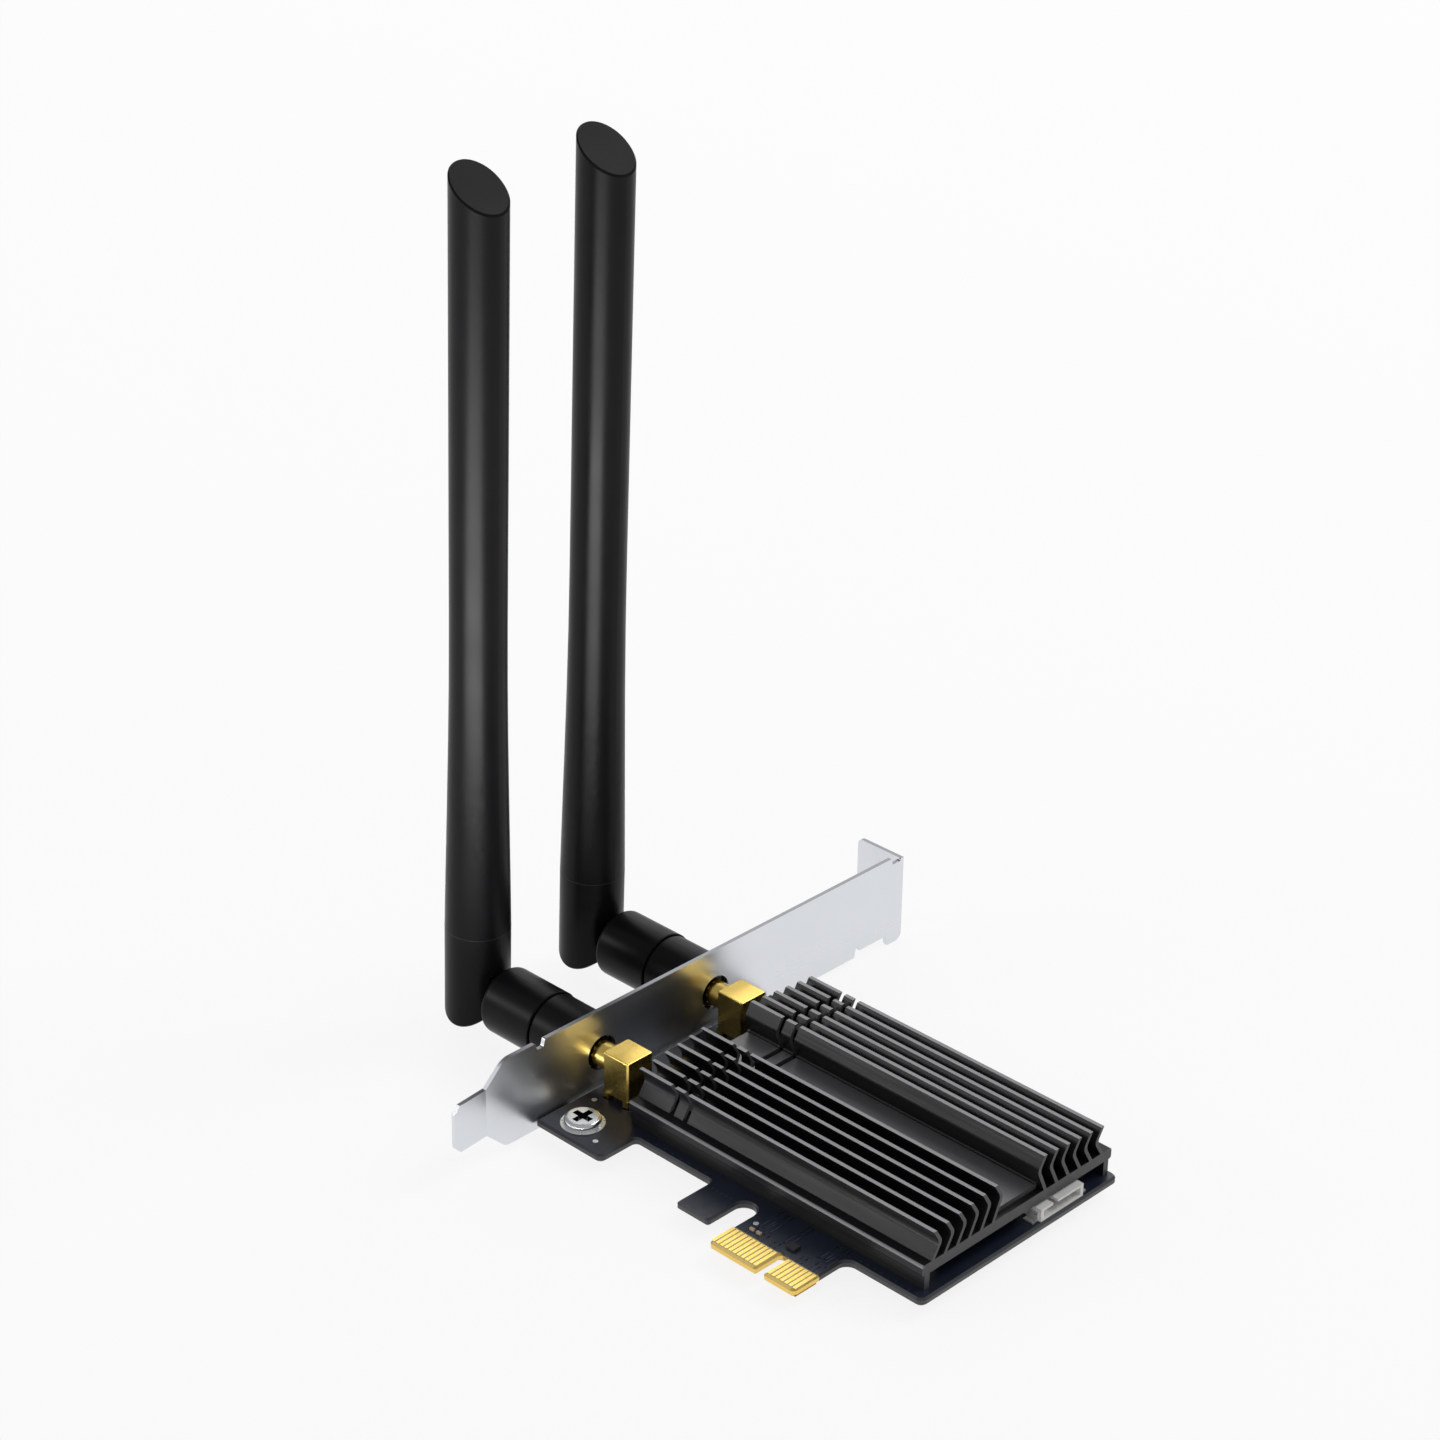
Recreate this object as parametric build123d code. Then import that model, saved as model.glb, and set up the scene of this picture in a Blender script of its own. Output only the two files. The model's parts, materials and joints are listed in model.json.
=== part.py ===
from build123d import *
import math
import os

# Wireless network card for an x1 expansion slot, with a finned heatsink and two elbow antennas.
# X runs along the card from the slot bracket to the far end, Y from the mating edge towards the
# bracket's screw tab, and Z out of the component side. The origin is the middle of the key notch
# on the mating edge, half way through the board. Millimetres. RUN_ON is how far a shape runs past
# the face it cuts or joins.

# Board
BOARD_T = 1.6
BOARD_GAP = 0.4
BOARD_END_X = 25.4
BOARD_FRONT_Y = 13.3
BOARD_BACK_Y = 66.3
CORNER_R = 1.5
BRACKET_CORNER_R = 0.6
INNER_R = 0.8
TAB_FRONT_Y = 4.3
SCREW_TAB_LEN = 17.0
HOOK_W = 8.0
SLOT_W = 4.35
END_FLAT = 0.1
RUN_ON = 1.0
SCREW_PLAY = 0.1

# Edge connector
CONTACT_PITCH = 1.0
CONTACT_W = 0.7
CONTACT_T = 0.05
CONTACT_Y = (0.6, 5.9)
CONTACTS_LEFT = 11
CONTACTS_RIGHT = 7
KEY_W = 1.9
KEY_DEPTH = 6.4
KEY_MARGIN = 0.7
SIDE_MARGIN = 0.5
EDGE_BEVEL = 0.4
FINGER_R = 1.0
KEY_MOUTH_R = 0.5
FINGER_ROOT_R = 1.9

# Slot bracket
BRACKET_X = -61.0
SHEET_T = 0.86
BRACKET_LEN = 120.02
PLATE_W = 18.42
PLATE_TOP_Z = 16.6
BRACKET_END_Y = 104.6
TONGUE_LEN = 8.1
TONGUE_W = 9.8
TONGUE_SET = 0.7
TONGUE_BEVEL = 1.4
SHOULDER_LEN = 4.6
SHOULDER_R = (4.0, 2.4)
NICK_Y = 12.2
NICK_W = 2.4
NICK_SIZE = (0.4, 1.5)
PUNCH_R = 0.4
TAB_LEN = 11.43
TAB_DROP = 1.2
TAB_SET = 0.9
TAB_R = 1.2
RELIEF = (2.5, 0.5)
LOBE_W = 4.2
LOBE_R = 1.6
WAIST_RISE = 1.1
WAIST_END = 12.4
SLIT = (1.4, 2.2)
NOTCH_D = 4.42
NOTCH_Z = 3.4
EAR_W = 8.0
EAR_LEN = 11.0
EAR_Y = (9.8, 60.2)
EAR_R = 1.5
EAR_SCREW_X = 7.1

# Bracket screws
M3_D = 3.0
M3_HEAD_D = 7.0
M3_HEAD_T = 1.35
M3_LEN = 3.6
RING_D = 8.3
HEAD_ROUND = 0.55
RECESS_DEPTH = 0.6
RECESS_ARM = (0.6, 0.18)

# Aerial jacks
JACK_Y = (21.5, 51.4)
JACK_Z = 7.3
JACK_BLOCK = 6.5
JACK_TOP_Z = 10.6
JACK_BLOCK_START = 3.6
JACK_NECK_D = 5.0
JACK_THREAD_D = 6.2
JACK_HOLE_D = 7.0
JACK_REACH = 10.9
JACK_BORE_D = 4.6
JACK_CORE_D = 3.4
JACK_DROP_D = 2.8
JACK_PIN_D = 0.94
JACK_LEG = 1.4
JACK_LEG_DROP = 0.9
JACK_LIFT = 1.3
JACK_EDGE = 0.3
JACK_TOP_ROUND = 0.24
JACK_STEP_S = 5.2
JACK_PIN_SHORT = 1.2
LEG_HOLE_D = 2.1
PIN_HOLE_D = 1.4
WASHER_T = 0.5
WASHER_RIM = (7.4, 9.6)
WASHER_TEETH = 8
WASHER_TOOTH = 0.9
NUT_T = 2.2
NUT_AF = 8.0
NUT_CROWN_D = 8.8
NUT_BEVEL = 0.5

# Antenna plug, measured outwards from the bracket's inner face
COLLAR_S = (4.0, 13.0)
COLLAR_D = 12.9
COLLAR_ROUND = 0.3
COUPLING_D = 9.4
FLANGE_S = (11.2, 12.2)
FLANGE_D = 7.8
PLUG_PIN_D = 1.74
SHANK_D = 5.4
SHANK_HEAD_D = 7.2
BARREL_S = (13.3, 26.4)
BARREL_D = 13.4
BARREL_ROUND = (0.25, 1.0)
HINGE_S = 34.1
SHANK_HEAD_T = 1.6
SHANK_HEAD_S = 21.8
SLEEVE_SHORT = 0.6
END_PLAY = 0.15
RUN_FIT = 0.05

# Antenna, measured from its hinge
ELBOW_LEAN = 1.8
FOOT_D = 12.6
FOOT_DROP = 6.8
FOOT_EDGE = 0.6
FOOT_TOP = 13.3
SPIGOT_LEN = 6.0
TONGUE_T = 4.0
TONGUE_R = 4.4
FORK_GAP = 0.25
PIN_D = 2.2
PIN_LEN = 10.0
TUBE_D = 10.65
TUBE_BORE_D = 8.2
WAIST_Z = 77.0
FLARE = 0.017
TUBE_TOP_Z = 160.0
TOP_SLANT = 33.7
TOP_WALL = 2.0
TOP_BEVEL = 0.3
ELEMENT_SIZE = (6.4, 0.8, 120.0)
ELEMENT_SET = 2.0
FEED_D = 1.4
FEED_BORE_D = 1.8
FEED_TOP = 49.0

# Heatsink
SINK_X = (-47.4, 23.6)
SINK_Y = 40.6
SINK_GAP = 3.0
BASE_T = 2.2
LIP_HALF = 25.4
SKIRT_HALF = 24.7
SKIRT_T = 1.3
FIN_COUNT = 6
FIN_FIRST = 6.6
FIN_PITCH = 3.16
FIN_T = 0.8
FIN_TOP_Z = 13.3
FIN_FALL = 1.55
FIN_BULGE = 1.65
FIN_KNEE = 2.7
FIN_FOOT = 0.6
FIN_BEND = 1.6
LAND_HALF = 6.0
LAND_H = 1.3
LAND_BACK = 1.3
LAND_RIB = 0.5
LAND_SINK = 0.3
LIP_ROUND = 0.5
KERF_S = (8.55, 11.95)
KERF_W = 1.1
M25_D = 2.5
M25_HEAD_D = 4.5
M25_HEAD_T = 1.3
SPACER_D = 5.0
SPACER_INSET = (5.0, 5.5)
SPACER_PLAY = 0.15
SCREW_BITE = 1.6
HOLE_OVER = 0.15

# Radio module under the heatsink
MODULE_AT = (-8.0, 40.6)
MODULE_SIZE = (24.0, 22.0, 0.8)
SHIELD_SIZE = (20.0, 18.0, 1.4)
SHIELD_WALL = 0.2
SHIELD_R = 0.8
PAD_INSET = 1.5
CHIP_SIZE = (9.0, 9.0, 0.9)

# Cable header at the far end
HEADER_Y = (45.2, 56.8)
HEADER_DEPTH = 5.6
HEADER_H = 2.6
HEADER_PINS = 5
HEADER_PITCH = 1.5
HEADER_BACK = 0.5
HEADER_WALL = 0.8
HEADER_SKIN = 0.5
HEADER_FLOOR = 1.2
HEADER_KEY = (3.2, 4.6)
HEADER_KEY_LEN = 2.5
PIN_W = 0.4
PIN_Z = 1.1
PIN_FOOT = 2.0
PIN_HEEL = 1.2
PIN_SHORT = 1.0
SOLDER_TAB = (2.2, 1.5, 1.8)
SOLDER_TAB_T = 0.3
SOLDER_TAB_BACK = 0.6

# Small surface parts: size, then the middle, count and step along X of each row
SURFACE_PARTS = {
    "coupling_capacitors": ((1.0, 0.5, 0.5), (-8.1, 7.6), 2, 1.6),
    "level_shifter": ((2.0, 1.6, 0.6), (-0.3, 8.9), 1, 0),
    "bulk_capacitors": ((3.2, 1.6, 1.6), (-34.0, 24.0), 3, 4.0),
    "resistors": ((1.6, 0.8, 0.45), (-32.0, 34.0), 4, 2.6),
    "power_inductor": ((4.0, 4.0, 2.0), (-33.0, 44.0), 1, 0),
    "power_regulator": ((3.0, 3.0, 0.9), (-33.0, 51.0), 1, 0),
    "clock_crystal": ((3.2, 2.5, 0.8), (-24.5, 55.0), 1, 0),
}

BOARD_TOP = BOARD_T / 2
BOARD_UNDER = -BOARD_T / 2
BOARD_START_X = BRACKET_X + BOARD_GAP
BASE_Z = BOARD_TOP + SINK_GAP
BASE_TOP_Z = BASE_Z + BASE_T
OUTER_X = BRACKET_X - SHEET_T
PLATE_BOTTOM_Z = PLATE_TOP_Z - PLATE_W
TAB_BOTTOM_Z = PLATE_BOTTOM_Z - TAB_DROP
TONGUE_Y = BRACKET_END_Y - BRACKET_LEN
EAR_TOP_Z = BOARD_UNDER
CONTACT_SIDE = KEY_W / 2 + KEY_MARGIN
FINGER_X0 = -CONTACT_SIDE - (CONTACTS_LEFT - 1) * CONTACT_PITCH - SIDE_MARGIN
FINGER_X1 = CONTACT_SIDE + (CONTACTS_RIGHT - 1) * CONTACT_PITCH + SIDE_MARGIN
HOOK_X1 = FINGER_X0 - SLOT_W
HOOK_X0 = HOOK_X1 - HOOK_W
SIDES = (("near", JACK_Y[0]), ("far", JACK_Y[1]))
UP = (Align.CENTER, Align.CENTER, Align.MIN)


def block(x, y, z):
    """Box between two x, two y and two z values."""
    size = Box(x[1] - x[0], y[1] - y[0], z[1] - z[0])
    return Pos((x[0] + x[1]) / 2, (y[0] + y[1]) / 2, (z[0] + z[1]) / 2) * size


def centred(at, size, z):
    """Box of the given size centred on a board point, standing on height z."""
    return Pos(at[0], at[1], z) * Box(*size, align=UP)


def rod(z0, z1, diameter):
    """Round bar along Z between two heights."""
    return Pos(0, 0, z0) * Cylinder(diameter / 2, z1 - z0, align=UP)


def outward(y, shape):
    """Place a shape built along Z on a jack axis, with Z pointing out of the bracket."""
    return Pos(BRACKET_X, y, JACK_Z) * Rot(0, -90, 0) * shape


def raised(y, shape):
    """Place a shape built upright about its hinge on the elbow of one antenna."""
    return Pos(BRACKET_X - HINGE_S, y, JACK_Z) * Rot(0, ELBOW_LEAN, 0) * shape


def screw_points():
    """Board positions of the two bracket screws."""
    return [(BRACKET_X + EAR_SCREW_X, y) for y in EAR_Y]


def spacer_points():
    """Board positions of the four heatsink screws."""
    xs = (SINK_X[0] + SPACER_INSET[0], SINK_X[1] - SPACER_INSET[0])
    ys = (SINK_Y - SKIRT_HALF + SPACER_INSET[1], SINK_Y + SKIRT_HALF - SPACER_INSET[1])
    return [(x, y) for x in xs for y in ys]


def jack_middle():
    """X of the middle of a jack's block."""
    return BRACKET_X + JACK_BLOCK_START + JACK_BLOCK / 2


def jack_legs(y):
    """Board positions of the four ground legs of a jack."""
    half = (JACK_BLOCK - JACK_LEG) / 2
    return [(jack_middle() + i * half, y + j * half) for i in (-1, 1) for j in (-1, 1)]


def board():
    """Circuit board outline with its tabs, hook, slot and key notch, and every drilled hole."""
    tab_end = BOARD_START_X + SCREW_TAB_LEN
    slot_r = SLOT_W / 2 - END_FLAT
    key_r = KEY_W / 2 - END_FLAT
    outline = [
        (BOARD_START_X, TAB_FRONT_Y, BRACKET_CORNER_R),
        (tab_end, TAB_FRONT_Y, CORNER_R),
        (tab_end, BOARD_FRONT_Y, INNER_R),
        (HOOK_X0, BOARD_FRONT_Y, INNER_R),
        (HOOK_X0, TAB_FRONT_Y, INNER_R),
        (HOOK_X1, TAB_FRONT_Y, INNER_R),
        (HOOK_X1, BOARD_FRONT_Y, slot_r),
        (FINGER_X0, BOARD_FRONT_Y, slot_r),
        (FINGER_X0, 0, FINGER_R),
        (-KEY_W / 2, 0, KEY_MOUTH_R),
        (-KEY_W / 2, KEY_DEPTH, key_r),
        (KEY_W / 2, KEY_DEPTH, key_r),
        (KEY_W / 2, 0, KEY_MOUTH_R),
        (FINGER_X1, 0, FINGER_R),
        (FINGER_X1, BOARD_FRONT_Y, FINGER_ROOT_R),
        (BOARD_END_X, BOARD_FRONT_Y, CORNER_R),
        (BOARD_END_X, BOARD_BACK_Y, CORNER_R),
        (BOARD_START_X, BOARD_BACK_Y, BRACKET_CORNER_R),
    ]
    points = [(x, y) for x, y, _ in outline]
    face = make_face(FilletPolyline(*points, radius=[r for _, _, r in outline], close=True))
    face -= [Pos(*p) * Circle(M3_D / 2 + SCREW_PLAY) for p in screw_points()]
    face -= [Pos(*p) * Circle(M25_D / 2 + SPACER_PLAY) for p in spacer_points()]
    for _, y in SIDES:
        face -= [Pos(*p) * Circle(LEG_HOLE_D / 2) for p in jack_legs(y)]
        face -= Pos(jack_middle(), y) * Circle(PIN_HOLE_D / 2)
    solid = extrude(Pos(0, 0, BOARD_UNDER) * face, BOARD_T)
    tip = solid.edges().filter_by(Axis.X).group_by(Axis.Y)[0]
    return chamfer(tip, EDGE_BEVEL)


def edge_contacts():
    """Gold contact strips on both faces of the connector tab."""
    left = [-CONTACT_SIDE - i * CONTACT_PITCH for i in range(CONTACTS_LEFT)]
    right = [CONTACT_SIDE + i * CONTACT_PITCH for i in range(CONTACTS_RIGHT)]
    strips = []
    for x in left + right:
        across = (x - CONTACT_W / 2, x + CONTACT_W / 2)
        strips.append(block(across, CONTACT_Y, (BOARD_TOP, BOARD_TOP + CONTACT_T)))
        strips.append(block(across, CONTACT_Y, (BOARD_UNDER - CONTACT_T, BOARD_UNDER)))
    return strips


def bracket():
    """Folded steel bracket: plate, screw tab, tongue and two ears under the board."""
    end = BRACKET_END_Y
    root = TONGUE_Y + TONGUE_LEN
    tongue_mid = (PLATE_TOP_Z + PLATE_BOTTOM_Z) / 2
    tongue_z = (tongue_mid - TONGUE_W / 2, tongue_mid + TONGUE_W / 2)
    bend_z = PLATE_TOP_Z - TAB_SET
    relief_y = (end - SHEET_T, end - SHEET_T - RELIEF[0])
    relief_z = bend_z - RELIEF[1]
    nick_y = (root + NICK_Y, root + NICK_Y + NICK_W)
    nick_z = PLATE_TOP_Z - NICK_SIZE[1]
    shoulder_y = root + SHOULDER_LEN
    waist_z = PLATE_BOTTOM_Z + WAIST_RISE
    waist_y = (end - LOBE_W, end - WAIST_END)
    slit_y = waist_y[1] - SLIT[0]
    slit_z = PLATE_BOTTOM_Z + SLIT[1]
    outline = [
        (end, TAB_BOTTOM_Z, LOBE_R),
        (end, bend_z, 0),
        (relief_y[0], bend_z, 0),
        (relief_y[0], relief_z, PUNCH_R / 2),
        (relief_y[1], relief_z, PUNCH_R),
        (relief_y[1], PLATE_TOP_Z, PUNCH_R),
        (nick_y[1], PLATE_TOP_Z, PUNCH_R),
        (nick_y[1] - NICK_SIZE[0], nick_z, PUNCH_R),
        (nick_y[0] + NICK_SIZE[0], nick_z, PUNCH_R),
        (nick_y[0], PLATE_TOP_Z, PUNCH_R),
        (shoulder_y, PLATE_TOP_Z, SHOULDER_R[0]),
        (root, tongue_z[1], 0),
        (root, tongue_z[0], 0),
        (shoulder_y, PLATE_BOTTOM_Z, SHOULDER_R[1]),
        (slit_y, PLATE_BOTTOM_Z, PUNCH_R / 2),
        (slit_y + PUNCH_R, slit_z, PUNCH_R / 2),
        (waist_y[1] - PUNCH_R / 2, slit_z, PUNCH_R / 2),
        (waist_y[1], waist_z, PUNCH_R / 2),
        (waist_y[0] - PUNCH_R, waist_z, PUNCH_R),
        (waist_y[0], TAB_BOTTOM_Z, PUNCH_R),
    ]
    points = [(y, z) for y, z, _ in outline]
    face = make_face(FilletPolyline(*points, radius=[r for _, _, r in outline], close=True))
    face -= [Pos(y, JACK_Z) * Circle(JACK_HOLE_D / 2) for y in JACK_Y]
    solid = extrude(Plane.YZ.offset(OUTER_X) * face, SHEET_T)

    tab_x = (BRACKET_X - TAB_LEN, OUTER_X)
    tab = block(tab_x, (end - SHEET_T, end), (TAB_BOTTOM_Z, bend_z))
    tab = fillet(tab.edges().filter_by(Axis.Y).group_by(Axis.X)[0], TAB_R)
    notch_x = tab_x[0] + TAB_LEN / 2
    notch_span = (notch_x - NOTCH_D / 2, notch_x + NOTCH_D / 2)
    notch = block(notch_span, (end - 2 * SHEET_T, end + SHEET_T), (TAB_BOTTOM_Z - RUN_ON, NOTCH_Z))
    notch += Pos(notch_x, end, NOTCH_Z) * Rot(90, 0, 0) * Cylinder(NOTCH_D / 2, 4 * SHEET_T)
    solid += tab - notch

    strip = [
        (BRACKET_X, root),
        (OUTER_X, root),
        (OUTER_X + TONGUE_SET, TONGUE_Y),
        (BRACKET_X + TONGUE_SET, TONGUE_Y),
    ]
    tongue = extrude(Pos(0, 0, tongue_z[0]) * make_face(Polyline(*strip, close=True)), TONGUE_W)
    tip = tongue.faces().sort_by(Axis.Y)[0].edges().filter_by(Axis.X)
    solid += chamfer(tip, TONGUE_BEVEL)

    for x, y in screw_points():
        span = (y - EAR_W / 2, y + EAR_W / 2)
        ear = block((OUTER_X, BRACKET_X + EAR_LEN), span, (EAR_TOP_Z - SHEET_T, EAR_TOP_Z))
        ear = fillet(ear.edges().filter_by(Axis.Z).group_by(Axis.X)[-1], EAR_R)
        solid += ear - Pos(x, y, 0) * rod(EAR_TOP_Z - 2 * SHEET_T, EAR_TOP_Z + SHEET_T, M3_D)
    return solid


def cross_recess(depth, width, arm):
    """Cross-shaped hole for a driver, sinking from height 0."""
    bars = Box(width, arm, depth, align=(Align.CENTER, Align.CENTER, Align.MAX))
    return bars + Rot(0, 0, 90) * bars


def pan_screw(diameter, length, head_d, head_t):
    """Pan-head machine screw pointing down, with the head standing on height 0."""
    head = rod(0, head_t, head_d)
    head = fillet(head.edges().sort_by(Axis.Z)[-1], head_t * HEAD_ROUND)
    bar, arm = (head_d * share for share in RECESS_ARM)
    head -= Pos(0, 0, head_t) * cross_recess(head_t * RECESS_DEPTH, bar, arm)
    return head + rod(-length, 0, diameter)


def ground_rings():
    """Plated rings that the bracket screws bear on."""
    flat = Circle(RING_D / 2) - Circle(M3_D / 2 + SCREW_PLAY)
    return [Pos(*p, BOARD_TOP) * extrude(flat, CONTACT_T) for p in screw_points()]


def fin_heights():
    """Distance from the middle and tip height of each fin, highest beside the centre."""
    last = FIN_COUNT - 1
    for i in range(FIN_COUNT):
        yield FIN_FIRST + i * FIN_PITCH, FIN_TOP_Z - FIN_FALL * i / last


def fin_face(side, distance, tip_z):
    """Section of one fin, bent towards the middle of the heatsink at its knee."""
    path = [
        (SINK_Y + side * (distance + FIN_FOOT), BASE_TOP_Z - BASE_T / 4),
        (SINK_Y + side * (distance - FIN_BULGE), tip_z - FIN_KNEE),
        (SINK_Y + side * distance, tip_z),
    ]
    walls = []
    for shift in (-FIN_T / 2, FIN_T / 2):
        walls.append(FilletPolyline(*[(y + shift, z) for y, z in path], radius=FIN_BEND))
    one, two = walls
    return make_face([*one.edges(), Line(one @ 1, two @ 1), *two.edges(), Line(two @ 0, one @ 0)])


def heatsink():
    """Extruded heatsink with side skirts, bent fins and a central land, sawn across twice."""
    length = SINK_X[1] - SINK_X[0]
    base_mid = (BASE_Z + BASE_TOP_Z) / 2
    face = Pos(SINK_Y, base_mid) * Rectangle(2 * LIP_HALF, BASE_T)
    face = fillet(face.vertices(), LIP_ROUND)
    for side in (-1, 1):
        skirt_z = (BOARD_TOP + base_mid) / 2
        at = Pos(SINK_Y + side * (SKIRT_HALF - SKIRT_T / 2), skirt_z)
        face += at * Rectangle(SKIRT_T, base_mid - BOARD_TOP)
        face += [fin_face(side, distance, tip_z) for distance, tip_z in fin_heights()]
    solid = extrude(Plane.YZ.offset(SINK_X[0]) * face, length)

    land_top = BASE_TOP_Z + LAND_H
    land_y = (SINK_Y - LAND_HALF, SINK_Y + LAND_HALF)
    land_x = (SINK_X[0], SINK_X[1] - LAND_BACK)
    land = block(land_x, land_y, (base_mid, land_top))
    inner = (land_y[0] + LAND_RIB, land_y[1] - LAND_RIB)
    solid += land - block(land_x, inner, (land_top - LAND_SINK, land_top + RUN_ON))

    for s in KERF_S:
        x = SINK_X[0] + s
        kerf = block((x - KERF_W / 2, x + KERF_W / 2), (0, 2 * SINK_Y), (BASE_TOP_Z, FIN_TOP_Z + RUN_ON))
        solid -= kerf
    for x, y in spacer_points():
        solid -= Pos(x, y, 0) * rod(BASE_Z, BASE_Z + SCREW_BITE + HOLE_OVER, M25_D)
    return solid


def spacers():
    """Four round spacers between the board and the heatsink's base."""
    ring = rod(BOARD_TOP, BASE_Z, SPACER_D) - rod(BOARD_TOP, BASE_Z, M25_D + 2 * SPACER_PLAY)
    return [Pos(*p, 0) * ring for p in spacer_points()]


def heatsink_screws():
    """Four screws from under the board into the heatsink's base."""
    length = BOARD_T + SINK_GAP + SCREW_BITE
    screw = pan_screw(M25_D, length, M25_HEAD_D, M25_HEAD_T)
    return [Pos(*p, BOARD_UNDER) * Rot(180, 0, 0) * screw for p in spacer_points()]


def bracket_screws():
    """Two screws from above, through the board and into the bracket's ears."""
    screw = pan_screw(M3_D, M3_LEN, M3_HEAD_D, M3_HEAD_T)
    return [Pos(*p, BOARD_TOP + CONTACT_T) * screw for p in screw_points()]


def shield_can():
    """Thin metal lid over the radio module, open below."""
    z = BOARD_TOP + MODULE_SIZE[2]
    length, width, height = SHIELD_SIZE
    inner = (length - 2 * SHIELD_WALL, width - 2 * SHIELD_WALL, height - SHIELD_WALL)
    outer = centred(MODULE_AT, SHIELD_SIZE, z)
    outer = fillet(outer.edges().filter_by(Axis.Z), SHIELD_R)
    return outer - centred(MODULE_AT, inner, z)


def thermal_pad():
    """Soft pad that fills the space between the shield can and the heatsink."""
    z = BOARD_TOP + MODULE_SIZE[2] + SHIELD_SIZE[2]
    length, width, _ = SHIELD_SIZE
    return centred(MODULE_AT, (length - 2 * PAD_INSET, width - 2 * PAD_INSET, BASE_Z - z), z)


def jack_body(y):
    """Gold jack: square block on four legs, round neck and threaded end with its bore."""
    x0 = BRACKET_X + JACK_BLOCK_START
    half = JACK_BLOCK / 2
    body = block((x0, x0 + JACK_BLOCK), (y - half, y + half), (BOARD_TOP + JACK_LIFT, JACK_TOP_Z))
    body = chamfer(body.edges().filter_by(Axis.Z), JACK_EDGE)
    body = fillet(body.edges().group_by(Axis.Z)[-1], JACK_TOP_ROUND)
    for at in jack_legs(y):
        leg = (JACK_LEG, JACK_LEG, JACK_LEG_DROP + BOARD_T + JACK_LIFT + JACK_EDGE)
        body += centred(at, leg, BOARD_UNDER - JACK_LEG_DROP)
    neck = rod(-JACK_BLOCK_START - RUN_ON, SHEET_T + WASHER_T, JACK_NECK_D)
    thread = rod(SHEET_T, JACK_REACH, JACK_THREAD_D)
    thread = chamfer(thread.edges().sort_by(Axis.Z)[-1], JACK_EDGE)
    body += outward(y, neck + thread)
    body -= outward(y, rod(-jack_core_depth(), JACK_REACH + RUN_ON, JACK_CORE_D))
    body -= outward(y, rod(JACK_STEP_S, JACK_REACH + RUN_ON, JACK_BORE_D))
    return body - Pos(jack_middle(), y, 0) * rod(BOARD_TOP, JACK_Z, JACK_DROP_D)


def jack_core_depth():
    """How far the jack's inner bore reaches into its block, past the bracket's inner face."""
    return JACK_BLOCK_START + (JACK_BLOCK + JACK_CORE_D) / 2


def jack_insulator(y):
    """White insulator in the jack's bore, turning down to the board inside the block."""
    shape = outward(y, rod(-jack_core_depth(), JACK_STEP_S, JACK_CORE_D))
    shape += Pos(jack_middle(), y, 0) * rod(BOARD_TOP + JACK_LIFT, JACK_Z, JACK_DROP_D)
    shape -= outward(y, rod(-JACK_BLOCK_START - JACK_BLOCK / 2, JACK_REACH, JACK_PIN_D))
    return shape - Pos(jack_middle(), y, 0) * rod(BOARD_TOP, JACK_Z, JACK_PIN_D)


def jack_contact(y):
    """Centre pin of the jack, bent down through the board."""
    along = outward(y, rod(-JACK_BLOCK_START - JACK_BLOCK / 2, JACK_REACH - JACK_PIN_SHORT, JACK_PIN_D))
    return along + Pos(jack_middle(), y, 0) * rod(BOARD_UNDER - JACK_LEG_DROP, JACK_Z, JACK_PIN_D)


def jack_washer():
    """Lock washer with inner teeth under the jack's nut."""
    span = (SHEET_T, SHEET_T + WASHER_T)
    inner, outer = WASHER_RIM
    ring = rod(*span, outer) - rod(*span, inner)
    reach = (inner - JACK_THREAD_D) / 2 + WASHER_TOOTH / 2
    at = Pos(JACK_THREAD_D / 2 + reach / 2, 0, SHEET_T)
    tooth = at * Box(reach, WASHER_TOOTH, WASHER_T, align=UP)
    ring += [Rot(0, 0, i * 360 / WASHER_TEETH) * tooth for i in range(WASHER_TEETH)]
    return ring - rod(*span, JACK_THREAD_D)


def jack_nut():
    """Thin hexagon nut on the jack's thread, outside the bracket."""
    z = SHEET_T + WASHER_T
    hexagon = RegularPolygon(NUT_AF / 2, 6, major_radius=False)
    nut = Pos(0, 0, z) * extrude(hexagon, NUT_T)
    crown = rod(z, z + NUT_T, NUT_CROWN_D)
    crown = chamfer(crown.edges().sort_by(Axis.Z)[-1], NUT_BEVEL)
    return (nut & crown) - rod(z, z + NUT_T, JACK_THREAD_D)


def coupling_nut():
    """Threaded brass sleeve inside the collar, held by the plug's flange."""
    seat = (FLANGE_S[0] - 2 * END_PLAY, FLANGE_S[1] + END_PLAY)
    nut = rod(*COLLAR_S, COUPLING_D)
    nut -= rod(COLLAR_S[0], seat[0], JACK_THREAD_D + 2 * RUN_FIT)
    nut -= rod(*seat, FLANGE_D + 2 * RUN_FIT)
    return nut - rod(FLANGE_S[1], COLLAR_S[1], SHANK_D + 2 * RUN_FIT)


def collar():
    """Plastic grip moulded over the coupling nut."""
    grip = rod(*COLLAR_S, COLLAR_D)
    grip = fillet(grip.edges().sort_by(Axis.Z)[-1], COLLAR_ROUND)
    return grip - rod(*COLLAR_S, COUPLING_D)


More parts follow.
